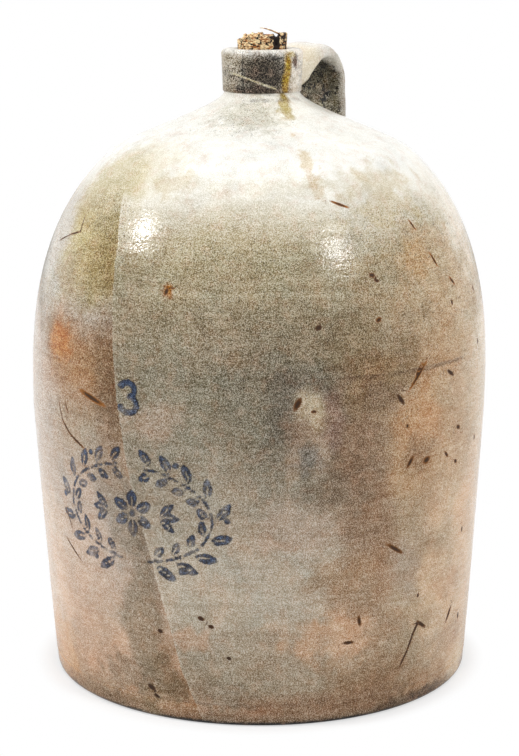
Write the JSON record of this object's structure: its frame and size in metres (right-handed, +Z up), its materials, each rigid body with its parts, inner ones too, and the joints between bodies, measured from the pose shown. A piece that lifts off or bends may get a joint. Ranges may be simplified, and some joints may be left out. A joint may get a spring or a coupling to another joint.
{
  "type": "jug",
  "caption": "Stoneware storage jug with a domed shoulder, short collared neck, strap handle, slip-lined inside and tapered cork.",
  "frame": {"origin": "centre of the flat foot, on the surface the jug stands on", "axes": "+Z up along the jug's axis, +Y towards the strap handle, -Y towards the blue capacity numeral, +X to the right when the numeral is faced"},
  "size_m": [0.2635, 0.2636, 0.3719],
  "materials": {
    "salt_glazed_stoneware": "grey to tan stoneware under a thin salt glaze with a fine pebbled skin",
    "fire_clouded_glaze": "salt glaze clouded dark grey by smoke, glossy",
    "brown_slip_glaze": "dark brown clay slip, glossy",
    "cork": "old bark cork, dry and crumbling at the head"
  },
  "bodies": {
    "jug": {"lower_body": "salt_glazed_stoneware", "shoulder_dome": "salt_glazed_stoneware", "neck_collar": "fire_clouded_glaze", "handle_strap": "salt_glazed_stoneware", "slip_lining": "brown_slip_glaze"},
    "cork": {"cork_stopper": "cork"}
  },
  "joints": [
    {"name": "cork_lift", "type": "slide", "parent": "jug", "child": "cork", "axis": [0, 0, 1], "range_m": [0, 0.06]}
  ]
}
